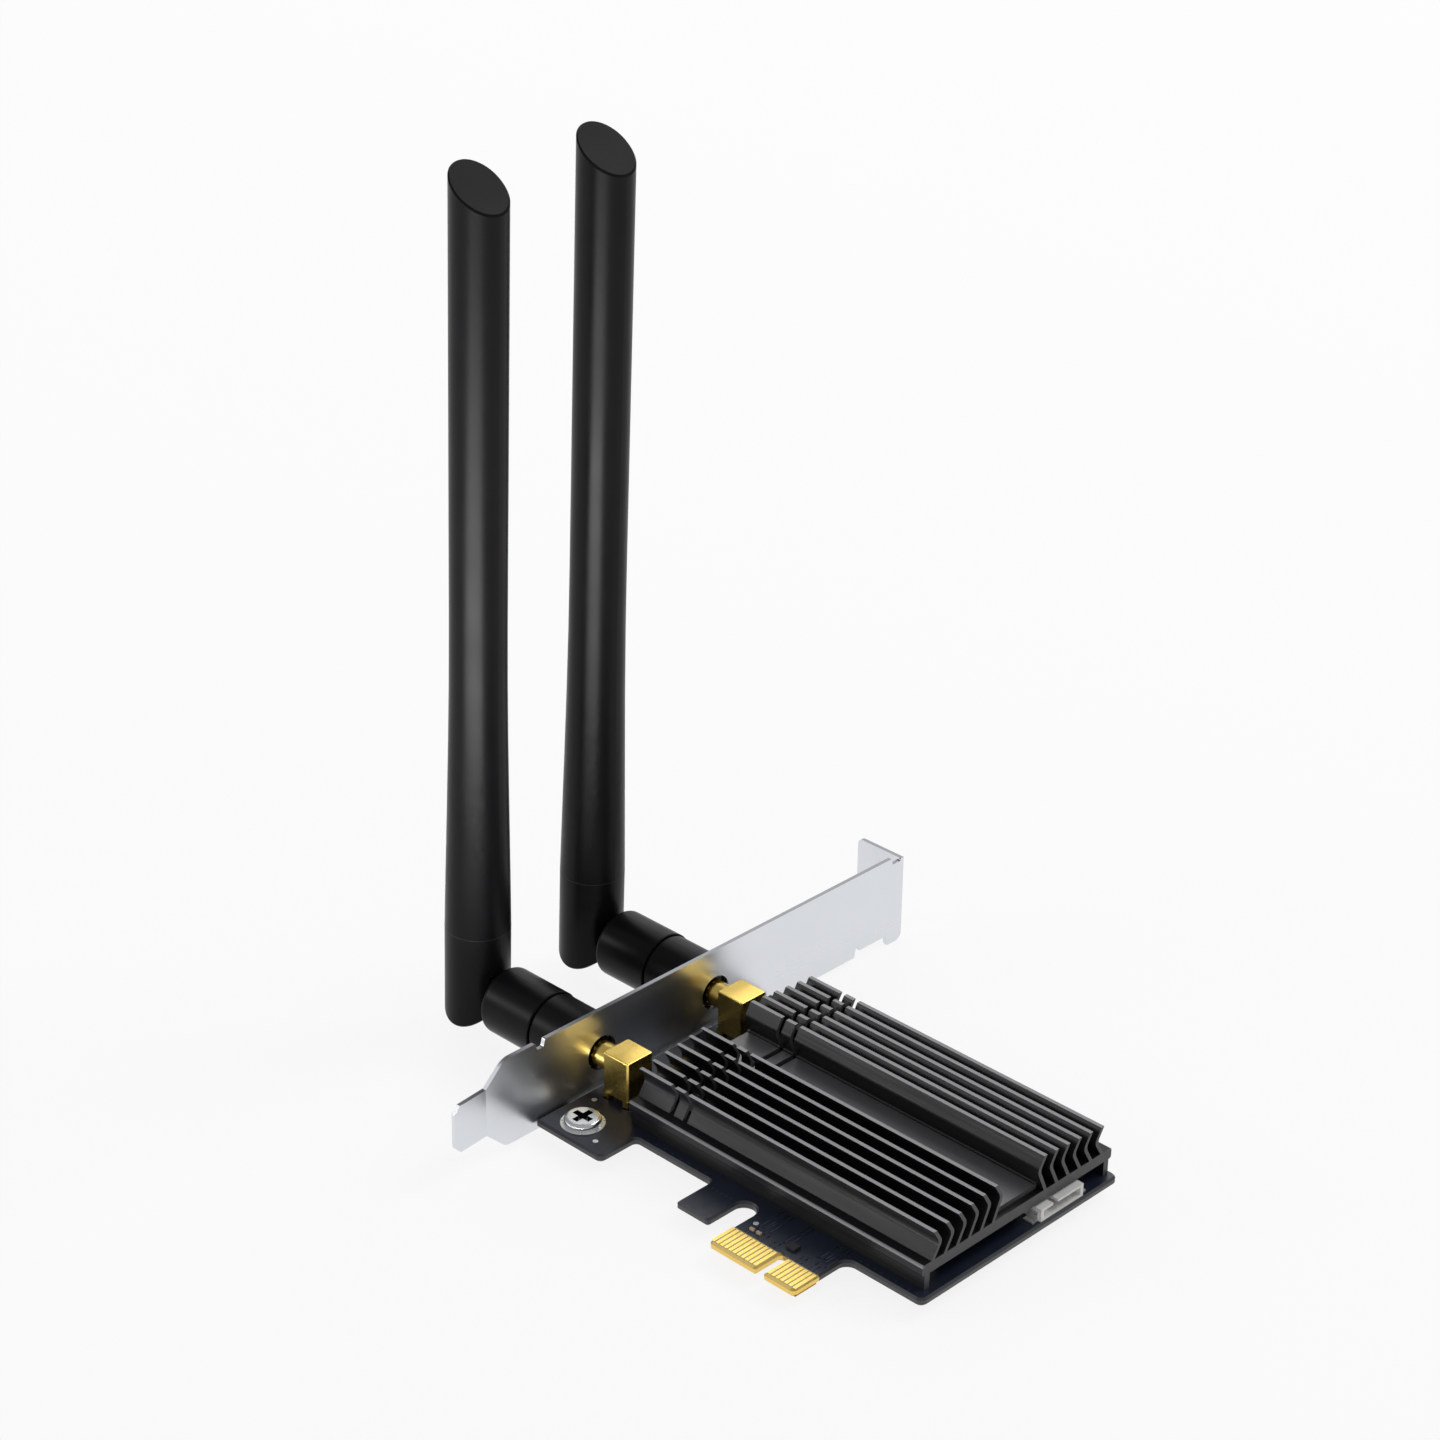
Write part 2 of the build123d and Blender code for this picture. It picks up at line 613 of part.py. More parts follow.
def plug_body():
    """Brass core of the antenna's plug: sleeve, flange, shank and the head that holds the barrel."""
    core = rod(JACK_STEP_S + SLEEVE_SHORT, FLANGE_S[0], JACK_BORE_D - 2 * RUN_FIT)
    core += rod(*FLANGE_S, FLANGE_D)
    core += rod(FLANGE_S[1], SHANK_HEAD_S, SHANK_D)
    core += rod(SHANK_HEAD_S, SHANK_HEAD_S + SHANK_HEAD_T, SHANK_HEAD_D)
    return core - rod(0, HINGE_S, JACK_CORE_D)


def plug_insulator():
    """White insulator in the plug."""
    span = (JACK_STEP_S + SLEEVE_SHORT, SHANK_HEAD_S)
    return rod(*span, JACK_CORE_D) - rod(*span, PLUG_PIN_D)


def plug_contact():
    """Hollow centre contact that slides over the jack's pin."""
    contact = rod(JACK_STEP_S + SLEEVE_SHORT, SHANK_HEAD_S, PLUG_PIN_D)
    return contact - rod(0, JACK_REACH, JACK_PIN_D + 2 * RUN_FIT)


def swivel_barrel():
    """Plastic barrel that turns on the plug, with the flat tongue of the elbow at its outer end."""
    barrel = rod(*BARREL_S, BARREL_D)
    barrel = fillet(barrel.edges().sort_by(Axis.Z)[-1], BARREL_ROUND[1])
    barrel = fillet(barrel.edges().sort_by(Axis.Z)[0], BARREL_ROUND[0])
    neck_z = (BARREL_S[1] - BARREL_ROUND[1], HINGE_S)
    neck = block((-TONGUE_R, TONGUE_R), (-TONGUE_T / 2, TONGUE_T / 2), neck_z)
    eye = Pos(0, 0, HINGE_S) * Rot(90, 0, 0) * Cylinder(TONGUE_R, TONGUE_T)
    barrel += neck + eye
    barrel -= rod(BARREL_S[0], SHANK_HEAD_S, SHANK_D + 2 * RUN_FIT)
    pocket = (SHANK_HEAD_S - END_PLAY, SHANK_HEAD_S + SHANK_HEAD_T + END_PLAY)
    barrel -= rod(*pocket, SHANK_HEAD_D + 2 * RUN_FIT)
    barrel -= rod(SHANK_HEAD_S, HINGE_S - PIN_D, FEED_BORE_D)
    return barrel - Pos(0, 0, HINGE_S) * Rot(90, 0, 0) * Cylinder(PIN_D / 2 + RUN_FIT, TONGUE_T)


def hinge_pin():
    """Steel pin across the fork of the foot."""
    return Rot(90, 0, 0) * Cylinder(PIN_D / 2, PIN_LEN)


def antenna_foot():
    """Lower end of the antenna: a fork rounded about its hinge, with a spigot up into the tube."""
    swing = Circle(FOOT_DROP) + Pos(0, FOOT_TOP / 2) * Rectangle(2 * FOOT_DROP, FOOT_TOP)
    foot = rod(-FOOT_DROP, FOOT_TOP, FOOT_D) & extrude(Plane.XZ * swing, FOOT_D, both=True)
    foot = fillet(foot.edges().filter_by(lambda edge: edge.center().Z < 0), FOOT_EDGE)
    spigot_top = FOOT_TOP + SPIGOT_LEN
    foot += rod(FOOT_TOP - RUN_ON, spigot_top, TUBE_BORE_D)
    clear = TONGUE_R + 2 * FORK_GAP
    half = TONGUE_T / 2 + FORK_GAP
    foot -= block((-clear, FOOT_D), (-half, half), (-FOOT_D, clear))
    foot -= block(*element_span(), (FOOT_TOP + ELEMENT_SET, spigot_top))
    foot -= feed_path(clear, spigot_top)
    return foot - hinge_pin()


def element_span():
    """Width and thickness ranges of the antenna's strip."""
    half_w = ELEMENT_SIZE[0] / 2
    half_t = ELEMENT_SIZE[1] / 2
    return (-half_w, half_w), (-half_t, half_t)


def feed_path(z0, z1):
    """Round bar along the feed cable's line beside the strip."""
    return Pos(0, -(ELEMENT_SIZE[1] + FEED_D) / 2, 0) * rod(z0, z1, FEED_D)


def antenna_tube():
    """Hollow tube, flared at its foot and cut at a slant on top."""
    r_top = TUBE_D / 2
    r_foot = FOOT_D / 2
    rise = WAIST_Z - FOOT_TOP
    lower = (r_foot - FLARE * rise / 3, FOOT_TOP + rise / 3)
    upper = (r_top, WAIST_Z - rise / 3)
    flare = Bezier((r_foot, FOOT_TOP), lower, upper, (r_top, WAIST_Z))
    top = TUBE_TOP_Z + FOOT_D
    edges = [
        Line((0, FOOT_TOP), (r_foot, FOOT_TOP)),
        flare,
        Line((r_top, WAIST_Z), (r_top, top)),
        Line((r_top, top), (0, top)),
        Line((0, top), (0, FOOT_TOP)),
    ]
    tube = revolve(Plane.XZ * make_face(edges), Axis.Z)
    cutter = Box(4 * FOOT_D, 4 * FOOT_D, 4 * FOOT_D, align=UP)
    slant = Pos(0, 0, TUBE_TOP_Z) * Rot(0, TOP_SLANT, 0) * cutter
    tube -= slant
    rim = tube.faces().sort_by(Axis.Z)[-1].edges()
    tube = chamfer(rim, TOP_BEVEL)
    return tube - rod(FOOT_TOP, tube_bore_end(), TUBE_BORE_D)


def tube_bore_end():
    """Top of the tube's bore, under the low side of the slanted end."""
    return TUBE_TOP_Z - TUBE_D / 2 * math.tan(math.radians(TOP_SLANT)) - TOP_WALL


def antenna_element():
    """Printed strip that radiates, standing in the foot's spigot."""
    z = FOOT_TOP + ELEMENT_SET
    return block(*element_span(), (z, z + ELEMENT_SIZE[2]))


def feed_cable():
    """Thin coaxial lead from the elbow up beside the strip."""
    return feed_path(TONGUE_R + 2 * FORK_GAP, FEED_TOP)


def cable_header():
    """Side-entry header housing at the far edge, open towards the edge."""
    x1 = BOARD_END_X - HEADER_BACK
    x0 = x1 - HEADER_DEPTH
    housing = block((x0, x1), HEADER_Y, (BOARD_TOP, BOARD_TOP + HEADER_H))
    mouth_y = (HEADER_Y[0] + HEADER_WALL, HEADER_Y[1] - HEADER_WALL)
    mouth_z = (BOARD_TOP + HEADER_SKIN, BOARD_TOP + HEADER_H - HEADER_SKIN)
    housing -= block((x0 + HEADER_FLOOR, x1), mouth_y, mouth_z)
    key_y = (HEADER_Y[0] + HEADER_KEY[0], HEADER_Y[0] + HEADER_KEY[1])
    housing -= block((x1 - HEADER_KEY_LEN, x1), key_y, (mouth_z[0], BOARD_TOP + HEADER_H))
    for shape in header_pins():
        housing -= shape
    return housing


def header_pins():
    """Contacts that run from their feet behind the housing into its mouth."""
    x0 = BOARD_END_X - HEADER_BACK - HEADER_DEPTH
    middle = (HEADER_Y[0] + HEADER_Y[1]) / 2
    pins = []
    for i in range(HEADER_PINS):
        y = middle + (i - (HEADER_PINS - 1) / 2) * HEADER_PITCH
        across = (y - PIN_W / 2, y + PIN_W / 2)
        pin_z = (BOARD_TOP + PIN_Z, BOARD_TOP + PIN_Z + PIN_W)
        heel = x0 - PIN_HEEL + PIN_W
        pin = block((x0 - PIN_HEEL, x0 + HEADER_DEPTH - PIN_SHORT), across, pin_z)
        pin += block((x0 - PIN_HEEL, heel), across, (BOARD_TOP, pin_z[1]))
        pin += block((x0 - PIN_FOOT, heel), across, (BOARD_TOP, BOARD_TOP + PIN_W))
        pins.append(pin)
    return pins


def header_tabs():
    """Two solder tabs that hold the header's sides to the board."""
    length, reach, height = SOLDER_TAB
    x1 = BOARD_END_X - HEADER_BACK - SOLDER_TAB_BACK
    span = (x1 - length, x1)
    tabs = []
    for y, out in ((HEADER_Y[0], -1), (HEADER_Y[1], 1)):
        wall = sorted((y, y + out * SOLDER_TAB_T))
        foot = sorted((y, y + out * reach))
        tab = block(span, wall, (BOARD_TOP, BOARD_TOP + height))
        tabs.append(tab + block(span, foot, (BOARD_TOP, BOARD_TOP + SOLDER_TAB_T)))
    return tabs


def surface_row(size, middle, count, step):
    """Surface parts of one size, evenly stepped along X on the board."""
    first = middle[0] - (count - 1) / 2 * step
    return [centred((first + i * step, middle[1]), size, BOARD_TOP) for i in range(count)]


def build():
    """Every node of the card, by name."""
    z_chip = BOARD_TOP + MODULE_SIZE[2]
    nodes = {
        "circuit_board": board(),
        "edge_contacts": edge_contacts(),
        "slot_bracket": bracket(),
        "bracket_screws": bracket_screws(),
        "ground_rings": ground_rings(),
        "heatsink": heatsink(),
        "heatsink_spacers": spacers(),
        "heatsink_screws": heatsink_screws(),
        "radio_module_board": centred(MODULE_AT, MODULE_SIZE, BOARD_TOP),
        "radio_chip": centred(MODULE_AT, CHIP_SIZE, z_chip),
        "shield_can": shield_can(),
        "thermal_pad": thermal_pad(),
        "cable_header": cable_header(),
        "header_contacts": header_pins(),
        "header_tabs": header_tabs(),
    }
    for name, row in SURFACE_PARTS.items():
        nodes[name] = surface_row(*row)
    for side, y in SIDES:
        nodes[side + "_jack_body"] = jack_body(y)
        nodes[side + "_jack_insulator"] = jack_insulator(y)
        nodes[side + "_jack_contact"] = jack_contact(y)
        nodes[side + "_jack_washer"] = outward(y, jack_washer())
        nodes[side + "_jack_nut"] = outward(y, jack_nut())
        nodes[side + "_coupling_nut"] = outward(y, coupling_nut())
        nodes[side + "_collar"] = outward(y, collar())
        nodes[side + "_plug_body"] = outward(y, plug_body())
        nodes[side + "_plug_insulator"] = outward(y, plug_insulator())
        nodes[side + "_plug_contact"] = outward(y, plug_contact())
        nodes[side + "_swivel_barrel"] = outward(y, swivel_barrel())
        nodes[side + "_hinge_pin"] = raised(y, hinge_pin())
        nodes[side + "_antenna_foot"] = raised(y, antenna_foot())
        nodes[side + "_antenna_tube"] = raised(y, antenna_tube())
        nodes[side + "_antenna_element"] = raised(y, antenna_element())
        nodes[side + "_feed_cable"] = raised(y, feed_cable())
    return nodes


os.makedirs("parts", exist_ok=True)
for name, shape in build().items():
    if isinstance(shape, list):
        shape = Compound(children=shape)
    export_step(shape, "parts/" + name + ".step")
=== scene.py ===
import json
import math

import bmesh
import bpy
from mathutils import Matrix, Vector


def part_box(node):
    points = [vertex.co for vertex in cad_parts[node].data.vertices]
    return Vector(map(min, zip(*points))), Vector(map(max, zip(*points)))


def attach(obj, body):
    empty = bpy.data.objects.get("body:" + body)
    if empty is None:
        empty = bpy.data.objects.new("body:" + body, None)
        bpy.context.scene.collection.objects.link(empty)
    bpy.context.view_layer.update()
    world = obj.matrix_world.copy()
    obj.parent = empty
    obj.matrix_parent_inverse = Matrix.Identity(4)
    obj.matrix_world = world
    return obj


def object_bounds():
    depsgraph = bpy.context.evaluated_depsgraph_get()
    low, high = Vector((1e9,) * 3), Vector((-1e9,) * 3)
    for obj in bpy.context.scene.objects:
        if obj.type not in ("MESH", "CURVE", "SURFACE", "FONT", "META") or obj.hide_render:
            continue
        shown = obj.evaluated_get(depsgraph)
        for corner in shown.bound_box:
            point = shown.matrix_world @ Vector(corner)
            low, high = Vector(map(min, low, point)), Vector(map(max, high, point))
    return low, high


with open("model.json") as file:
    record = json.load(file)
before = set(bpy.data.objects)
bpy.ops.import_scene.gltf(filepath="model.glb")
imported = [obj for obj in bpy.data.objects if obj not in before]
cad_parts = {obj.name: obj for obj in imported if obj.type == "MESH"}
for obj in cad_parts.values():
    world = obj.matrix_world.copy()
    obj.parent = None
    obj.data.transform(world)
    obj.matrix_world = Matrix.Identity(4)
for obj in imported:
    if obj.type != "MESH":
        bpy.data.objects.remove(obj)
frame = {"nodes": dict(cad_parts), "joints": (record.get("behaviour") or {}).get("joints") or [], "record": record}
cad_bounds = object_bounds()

# Finishes, fine detail, light and camera for the wireless card, in metres on the card's own axes.

MM = 0.001

# Camera
CAMERA_AT = (340.27, -362.71, 365.09)
CAMERA_TURN = 44.078
CAMERA_RISE = 27.445
CAMERA_ROLL = 0.731
LENS = 89.03

# Board detail
TRACE_W = 0.22
TRACE_T = 0.02
TRACE_GAP = 0.45
TRACE_END_Y = 15.4
CONTACTS = (11, 7)
CONTACT_W = 0.7
TRACE_RISE = 1.6
TRACE_STAGGER = 0.3
# First contact of each traced pair, and how far the pair steps sideways.
TRACE_PAIRS = ((2, 0.8), (5, -0.7), (8, 1.1), (12, 2.2), (15, 0.8))
VIA_D = 0.55
VIA_T = 0.03
# Start x, y, count and spacing of each row.
VIA_ROWS = ((10.5, 14.4, 9, 1.6), (-41.5, 14.4, 8, 2.1), (-22.6, 11.8, 5, 1.1))
TEST_PAD_D = 1.1
TEST_PADS = ((-47.9, 7.2), (-57.8, 16.4), (-9.9, 9.6))
SOLDER_D = (2.6, 1.9)
SOLDER_H = 0.75
JACK_LEG = 1.4

# Where the finishes change on the board, heatsink and screws, and where the painted highlights, sheen and shade
# sit on them and on the jack threads
MASK_SOFT = 0.2
PLATED_TO_Y = 6.5
WINDOW_TO_Y = 6.25
TAB_X = (-12.6, 8.5)
FIN_TIP_Z = 10.4
FIN_TIP_SOFT = 0.4
LIP_OFF = 24.9
LIP_Z = 5.5
LIP_SOFT = 0.1
LAND_HALF = 6.1
LAND_Z = 6.6
LAND_SOFT = 0.15
RECESS_SHARE = (0.68, 0.62)
THREAD_CLEAR = 0.5

# Antenna detail
SEAM_D = 0.16
SEAM_SINK = 0.75
SEAM_STEPS = 72
SEAM_SIDES = 8
FOOT_TOP = 13.3
ANTENNA_LEAN = 1.8

# Studio
FLOOR_SIZE = 60.0
FLOOR_COLOUR = (0.9, 0.9, 0.9)
FLOOR_CLEAR = 0.86
BACKDROP_DROP = 0.3
SKY_COLOUR = (0.96, 0.98, 1.0)
WORLD_LEVEL = 0.42
LAMP_AIM = (-0.04, 0.04, 0.03)
# Place, size and power of each lamp.
SOFTBOXES = {
    "back_softbox": ((-0.86, 0.89, 0.65), (1.4, 1.0), 5.0),
    "top_softbox": ((0.3, 0.85, 1.0), (0.6, 0.6), 5.0),
    "left_softbox": ((-0.72, -0.76, 0.40), (0.5, 0.2), 2.5),
}
PANEL_AT = (0.001, -0.150)
PANEL_LIFT = 2.0
PANEL_SIZE = (0.2, 0.16)
PANEL_POWER = 2.0

SCENE = bpy.context.scene
NODES = frame["nodes"]
BOARD_LOW, BOARD_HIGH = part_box("circuit_board")
SINK_LOW, SINK_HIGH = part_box("heatsink")
SINK_MID_Y = (SINK_LOW[1] + SINK_HIGH[1]) / 2
SIDES = ("near", "far")


class Finish:
    """Node material for one finish: a shader with plain values, and the detail that is linked into it."""

    def __init__(self, name, colour, rough, metal=0.0, specular=0.5):
        self.mat = bpy.data.materials.new(name)
        self.mat.use_nodes = True
        self.tree = self.mat.node_tree
        self.shader = self.tree.nodes["Principled BSDF"]
        self.colour = (*colour, 1.0)
        self.rough = rough
        self.shader.inputs["Base Color"].default_value = self.colour
        self.shader.inputs["Roughness"].default_value = rough
        self.shader.inputs["Metallic"].default_value = metal
        self.shader.inputs["Specular IOR Level"].default_value = specular
        self.coords = self.tree.nodes.new("ShaderNodeTexCoord")

    def feed(self, socket, value):
        """Link a socket into another, or set its value."""
        if isinstance(value, bpy.types.NodeSocket):
            self.tree.links.new(value, socket)
        else:
            socket.default_value = value

    def node(self, kind, inputs, **settings):
        """New node with its settings and inputs."""
        made = self.tree.nodes.new(kind)
        for key, value in settings.items():
            setattr(made, key, value)
        for key, value in inputs.items():
            self.feed(made.inputs[key], value)
        return made

    def math(self, operation, *values):
        """Result of one arithmetic step."""
        inputs = dict(enumerate(values))
        return self.node("ShaderNodeMath", inputs, operation=operation).outputs[0]

    def axes(self, output="Object"):
        """X, Y and Z of a texture coordinate."""
        split = self.node("ShaderNodeSeparateXYZ", {"Vector": self.coords.outputs[output]})
        return split.outputs

    def noise(self, size_mm, detail=3.0, stretch=(1.0, 1.0, 1.0)):
        """Noise with features of the given size, drawn out along an axis where stretch is small."""
        scaled = self.node("ShaderNodeMapping", {"Vector": self.coords.outputs["Object"], "Scale": stretch})
        inputs = {"Vector": scaled.outputs[0], "Scale": 1 / (size_mm * MM), "Detail": detail}
        return self.node("ShaderNodeTexNoise", inputs).outputs[0]

    def ramp(self, value, low, high, to_low=0.0, to_high=1.0):
        """Value carried from one range to another and held at its ends."""
        inputs = {"Value": value, "From Min": low, "From Max": high, "To Min": to_low, "To Max": to_high}
        return self.node("ShaderNodeMapRange", inputs).outputs[0]

    def step(self, value, at_mm, soft_mm):
        """0 below a place and 1 past it, or the other way round where the soft edge is negative."""
        return self.ramp(value, at_mm * MM, (at_mm + soft_mm) * MM)

    def both(self, one, two):
        """Where two masks meet."""
        return self.math("MULTIPLY", one, two)

    def mix(self, share, one, two):
        """Colour between two."""
        made = self.node("ShaderNodeMix", {}, data_type="RGBA")
        self.feed(made.inputs[0], share)
        self.feed(made.inputs[6], one)
        self.feed(made.inputs[7], two)
        return made.outputs[2]

    def tint(self, value, amount):
        """Lighten and darken the colour a little by a pattern."""
        dark = tuple(c * (1 - amount) for c in self.colour[:3]) + (1.0,)
        light = tuple(min(1.0, c * (1 + amount)) for c in self.colour[:3]) + (1.0,)
        self.feed(self.shader.inputs["Base Color"], self.mix(value, dark, light))

    def rub(self, value, amount):
        """Vary the roughness by a pattern."""
        rough = self.ramp(value, 0.3, 0.7, self.rough - amount, self.rough + amount)
        self.feed(self.shader.inputs["Roughness"], rough)

    def bump(self, value, depth_mm, strength):
        """Raise and sink the surface by a pattern."""
        inputs = {"Height": value, "Distance": depth_mm * MM, "Strength": strength}
        made = self.node("ShaderNodeBump", inputs)
        self.feed(self.shader.inputs["Normal"], made.outputs[0])


def moulded(name, colour, rough, specular, grain_mm=0.16, depth=0.02):
    """Moulded plastic with a fine grain and a slow change of gloss."""
    made = Finish(name, colour, rough, specular=specular)
    made.tint(made.noise(6.0), 0.25)
    made.rub(made.noise(14.0), 0.04)
    made.bump(made.noise(grain_mm, 2.0), depth, 0.35)
    return made.mat


def polished(name, colour, rough, wave_mm=5.0, metal=1.0):
    """Plated metal with slow waves in its polish and fine rubbing marks."""
    made = Finish(name, colour, rough, metal=metal)
    made.tint(made.noise(wave_mm), 0.05)
    made.rub(made.noise(0.6, 4.0), 0.04)
    made.bump(made.noise(wave_mm, 1.0), 0.02, 0.12)
    return made.mat


def folded_nickel():
    """Nickel-plated sheet: a hazy mirror with long faint rolling marks, darker on its top and bottom cut edges,
    partly as duller cut metal and partly as painted shade.
    """
    made = Finish("folded_nickel", (0.74, 0.76, 0.79), 0.30, metal=1.0)
    plate_x = BOARD_LOW[0]
    x = made.axes()[0]
    face_z = made.axes("Normal")[2]
    edge_on = made.ramp(made.math("ABSOLUTE", face_z), 0.80, 0.95)
    # Top and bottom edges of the sheet: partly duller cut metal, partly painted shade that tones down the lamp's
    # glint there.
    dull_and_shaded_edges = made.both(edge_on, made.ramp(x, plate_x + 0.1 * MM, plate_x))
    sheet = made.mix(made.noise(22.0), (0.71, 0.73, 0.76, 1.0), (0.77, 0.79, 0.82, 1.0))
    # Dark edge colour: duller cut metal together with painted shade.
    made.feed(made.shader.inputs["Base Color"], made.mix(dull_and_shaded_edges, sheet, (0.24, 0.245, 0.26, 1.0)))
    made.rub(made.noise(7.0, 1.0, (1.0, 0.1, 1.0)), 0.03)
    made.bump(made.noise(16.0, 1.0), 0.03, 0.10)
    return made.mat


def anodised_fins():
    """Black anodised extrusion: fin tips lighter as bare machined metal and partly as painted highlight, painted
    highlight on the lips, painted sheen that greys the land, and greyer sawn ends.
    """
    made = Finish("anodised_fins", (0.016, 0.016, 0.018), 0.36, specular=0.22)
    y, z = made.axes()[1:]
    face_x, _, face_z = made.axes("Normal")
    level = made.ramp(face_z, 0.90, 0.96)
    sawn = made.ramp(made.math("ABSOLUTE", face_x), 0.90, 0.96)
    off_middle = made.math("ABSOLUTE", made.math("SUBTRACT", y, SINK_MID_Y))
    # Fin tips: bare machined metal, lighter also as a painted highlight on the tip faces.
    tip = made.both(level, made.step(z, FIN_TIP_Z, FIN_TIP_SOFT))
    # Painted highlight along the top edges of the lips.
    lip_highlight = made.both(made.step(off_middle, LIP_OFF, LIP_SOFT), made.step(z, LIP_Z, LIP_SOFT))
    # Land between the fin groups, where a painted sheen colours it lighter grey.
    flat = made.both(level, made.step(off_middle, LAND_HALF, -MASK_SOFT))
    land = made.both(flat, made.step(z, LAND_Z, LAND_SOFT))
    streak = made.noise(0.5, 3.0, (0.03, 1.0, 1.0))
    # Patchy share that breaks up the painted tip and lip highlights.
    patchy_share = made.ramp(streak, 0.35, 0.75, 0.75, 1.0)
    black = made.mix(streak, (0.007, 0.007, 0.0075, 1.0), (0.014, 0.014, 0.015, 1.0))
    # Painted sheen: lighter grey colour on the land.
    plain = made.mix(land, black, (0.13, 0.13, 0.133, 1.0))
    ended = made.mix(sawn, plain, (0.07, 0.07, 0.072, 1.0))
    # Painted highlight colour on the lips.
    edged = made.mix(made.both(lip_highlight, patchy_share), ended, (0.20, 0.20, 0.205, 1.0))
    # Tip colour: bare metal together with a painted highlight.
    bare = made.mix(made.both(tip, patchy_share), edged, (0.28, 0.28, 0.285, 1.0))
    made.feed(made.shader.inputs["Base Color"], bare)
    made.feed(made.shader.inputs["Metallic"], made.math("MULTIPLY", tip, 0.4))
    made.feed(made.shader.inputs["Specular IOR Level"], made.ramp(land, 0.0, 1.0, 0.22, 1.0))
    made.rub(streak, 0.05)
    made.bump(streak, 0.015, 0.25)
    return made.mat


def masked_board():
    """Navy solder mask over laminate: grey sawn edges, and plated edges round the connector tab."""
    made = Finish("masked_board", (0.012, 0.016, 0.032), 0.34)
    x, y = made.axes()[:2]
    face_z = made.axes("Normal")[2]
    side = made.ramp(made.math("ABSOLUTE", face_z), 0.85, 0.6)
    plated = made.both(side, made.step(y, PLATED_TO_Y, -MASK_SOFT))
    bare = made.both(made.step(y, WINDOW_TO_Y, -MASK_SOFT), made.math("SUBTRACT", 1.0, side))
    in_tab = made.both(made.step(x, TAB_X[0], MASK_SOFT), made.step(x, TAB_X[1], -MASK_SOFT))
    gold = made.both(plated, in_tab)
    mask = made.mix(made.noise(9.0), (0.009, 0.012, 0.025, 1.0), (0.015, 0.02, 0.038, 1.0))
    weave = made.noise(0.25, 2.0, (1.0, 1.0, 0.2))
    fibres = made.mix(weave, (0.035, 0.035, 0.04, 1.0), (0.075, 0.072, 0.068, 1.0))
    edged = made.mix(side, mask, fibres)
    window = made.mix(made.both(bare, in_tab), edged, (0.50, 0.41, 0.20, 1.0))
    made.feed(made.shader.inputs["Base Color"], made.mix(gold, window, (0.9, 0.62, 0.16, 1.0)))
    made.feed(made.shader.inputs["Metallic"], gold)
    made.rub(made.noise(2.5), 0.05)
    made.bump(made.noise(0.8, 3.0), 0.01, 0.2)
    return made.mat


def plated_gold():
    """Satin gold plate, with painted shade that darkens the threads outside the bracket."""
    made = Finish("plated_gold", (0.93, 0.65, 0.17), 0.24, metal=1.0)
    # Painted shade on the threads outside the bracket, coloured dark brown.
    thread_shade_x = BOARD_LOW[0] / MM - THREAD_CLEAR
    thread_shade = made.step(made.axes()[0], thread_shade_x, -MASK_SOFT)
    plate = made.mix(made.noise(5.0), (0.88, 0.61, 0.155, 1.0), (0.97, 0.69, 0.185, 1.0))
    made.feed(made.shader.inputs["Base Color"], made.mix(thread_shade, plate, (0.05, 0.035, 0.012, 1.0)))
    made.rub(made.noise(0.6, 4.0), 0.04)
    made.bump(made.noise(5.0, 1.0), 0.02, 0.12)
    return made.mat


def driven_screw():
    """Bright plated screws, with painted shade inside the driver recess of the two on the bracket."""
    made = Finish("bright_screw", (0.76, 0.76, 0.75), 0.2, metal=1.0)
    low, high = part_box("bracket_screws")
    head_r = (high[0] - low[0]) / 2
    x, y, z = made.axes()
    off_x = made.math("SUBTRACT", x, low[0] + head_r)
    off_near = made.math("ABSOLUTE", made.math("SUBTRACT", y, low[1] + head_r))
    off_far = made.math("ABSOLUTE", made.math("SUBTRACT", y, high[1] - head_r))
    off_y = made.math("MINIMUM", off_near, off_far)
    squares = made.math("ADD", made.math("MULTIPLY", off_x, off_x), made.math("MULTIPLY", off_y, off_y))
    outer, inner = (head_r * share for share in RECESS_SHARE)
    inside = made.ramp(made.math("SQRT", squares), outer, inner)
    # Painted shade: the driver recess is coloured near black.
    recess_shade = made.both(inside, made.ramp(z, high[2] - 0.04 * MM, high[2] - 0.12 * MM))
    plate = made.mix(made.noise(2.0), (0.70, 0.70, 0.69, 1.0), (0.80, 0.80, 0.79, 1.0))
    made.feed(made.shader.inputs["Base Color"], made.mix(recess_shade, plate, (0.035, 0.034, 0.032, 1.0)))
    made.rub(made.noise(0.5, 4.0), 0.05)
    made.bump(made.noise(1.5, 1.0), 0.02, 0.12)
    return made.mat


def fired_ceramic():
    """Fired ceramic body of the small parts, whose tinned ends this finish does not draw."""
    made = Finish("fired_ceramic", (0.42, 0.33, 0.24), 0.45)
    made.tint(made.noise(0.4), 0.2)
    made.bump(made.noise(0.2), 0.01, 0.2)
    return made.mat


